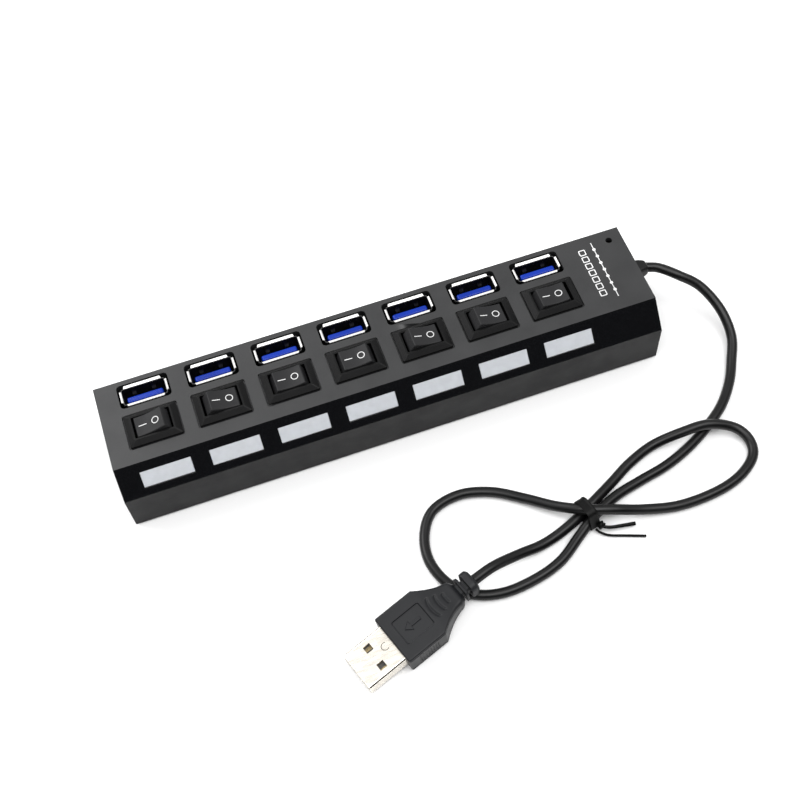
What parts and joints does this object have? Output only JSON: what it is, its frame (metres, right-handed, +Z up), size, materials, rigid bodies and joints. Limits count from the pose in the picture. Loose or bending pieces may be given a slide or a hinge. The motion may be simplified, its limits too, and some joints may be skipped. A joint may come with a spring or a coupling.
{
  "type": "usb hub",
  "caption": "Long desktop hub with upright sockets, a rocker switch for each socket, a glossy strip of light windows and a short tied lead with a plug.",
  "frame": {"origin": "middle of the housing's length and depth, on the surface that its feet stand on", "axes": "+X along the housing towards the end where the lead leaves, -Y to the side with the strip of light windows, +Z up out of the sockets"},
  "size_m": [0.1868, 0.1051, 0.0265],
  "materials": {
    "cover_plastic": "fine moulded grain, dark grey",
    "gloss_strip": "polished near-black",
    "base_plastic": "fine moulded grain, dark grey",
    "foot_rubber": "soft matte",
    "screw_steel": "zinc plated",
    "board": "solder mask",
    "chip_black": "moulded epoxy",
    "can_metal": "drawn can",
    "capacitor_sleeve": "sleeved can",
    "led_clear": "clear moulding",
    "lens_white": "milky diffuser",
    "nickel": "plated sheet steel",
    "blue_plastic": "moulded blue",
    "gold": "gold flash",
    "switch_black": "satin moulding",
    "rocker_black": "satin moulding",
    "tin": "tinned",
    "relief_rubber": "satin",
    "wire_jacket": "thin coloured wires",
    "cord_jacket": "satin PVC",
    "plug_rubber": "satin PVC",
    "plug_nickel": "plated sheet steel",
    "insulator_white": "moulded white",
    "tie_black": "plastic-covered wire"
  },
  "bodies": {
    "housing": {"top_cover": "cover_plastic", "light_strip": "gloss_strip", "base_cover": "base_plastic", "rubber_feet": "foot_rubber", "case_screws": "screw_steel", "pcb": "board", "hub_chips": "chip_black", "resistors": "chip_black", "crystal": "can_metal", "capacitors": "capacitor_sleeve", "status_leds": "led_clear", "power_led": "led_clear", "status_lens_1": "lens_white", "status_lens_2": "lens_white", "status_lens_3": "lens_white", "status_lens_4": "lens_white", "status_lens_5": "lens_white", "status_lens_6": "lens_white", "status_lens_7": "lens_white", "usb_shell_1": "nickel", "usb_shell_2": "nickel", "usb_shell_3": "nickel", "usb_shell_4": "nickel", "usb_shell_5": "nickel", "usb_shell_6": "nickel", "usb_shell_7": "nickel", "usb_tongue_1": "blue_plastic", "usb_tongue_2": "blue_plastic", "usb_tongue_3": "blue_plastic", "usb_tongue_4": "blue_plastic", "usb_tongue_5": "blue_plastic", "usb_tongue_6": "blue_plastic", "usb_tongue_7": "blue_plastic", "port_contacts": "gold", "plug_contacts": "gold", "switch_frame_1": "switch_black", "switch_frame_2": "switch_black", "switch_frame_3": "switch_black", "switch_frame_4": "switch_black", "switch_frame_5": "switch_black", "switch_frame_6": "switch_black", "switch_frame_7": "switch_black", "switch_terminals": "tin", "strain_relief": "relief_rubber", "cord_leads": "wire_jacket", "cord": "cord_jacket", "plug_overmold": "plug_rubber", "plug_shell": "plug_nickel", "plug_insulator": "insulator_white", "twist_tie": "tie_black"},
    "rocker_1": {"switch_rocker_1": "rocker_black"},
    "rocker_2": {"switch_rocker_2": "rocker_black"},
    "rocker_3": {"switch_rocker_3": "rocker_black"},
    "rocker_4": {"switch_rocker_4": "rocker_black"},
    "rocker_5": {"switch_rocker_5": "rocker_black"},
    "rocker_6": {"switch_rocker_6": "rocker_black"},
    "rocker_7": {"switch_rocker_7": "rocker_black"}
  },
  "joints": [
    {"name": "rocker_1_tilt", "type": "hinge", "parent": "housing", "child": "rocker_1", "pos_m": [-0.0671, -0.0007, 0.022], "axis": [0, 1, 0], "range_deg": [-2, 26]},
    {"name": "rocker_2_tilt", "type": "hinge", "parent": "housing", "child": "rocker_2", "pos_m": [-0.0471, -0.0007, 0.022], "axis": [0, 1, 0], "range_deg": [-27, 1]},
    {"name": "rocker_3_tilt", "type": "hinge", "parent": "housing", "child": "rocker_3", "pos_m": [-0.0271, -0.0007, 0.022], "axis": [0, 1, 0], "range_deg": [-14, 14]},
    {"name": "rocker_4_tilt", "type": "hinge", "parent": "housing", "child": "rocker_4", "pos_m": [-0.0071, -0.0007, 0.022], "axis": [0, 1, 0], "range_deg": [-11, 17]},
    {"name": "rocker_5_tilt", "type": "hinge", "parent": "housing", "child": "rocker_5", "pos_m": [0.0129, -0.0007, 0.022], "axis": [0, 1, 0], "range_deg": [-28, 0]},
    {"name": "rocker_6_tilt", "type": "hinge", "parent": "housing", "child": "rocker_6", "pos_m": [0.0329, -0.0007, 0.022], "axis": [0, 1, 0], "range_deg": [-28, 0]},
    {"name": "rocker_7_tilt", "type": "hinge", "parent": "housing", "child": "rocker_7", "pos_m": [0.0529, -0.0007, 0.022], "axis": [0, 1, 0], "range_deg": [-17, 11]}
  ]
}
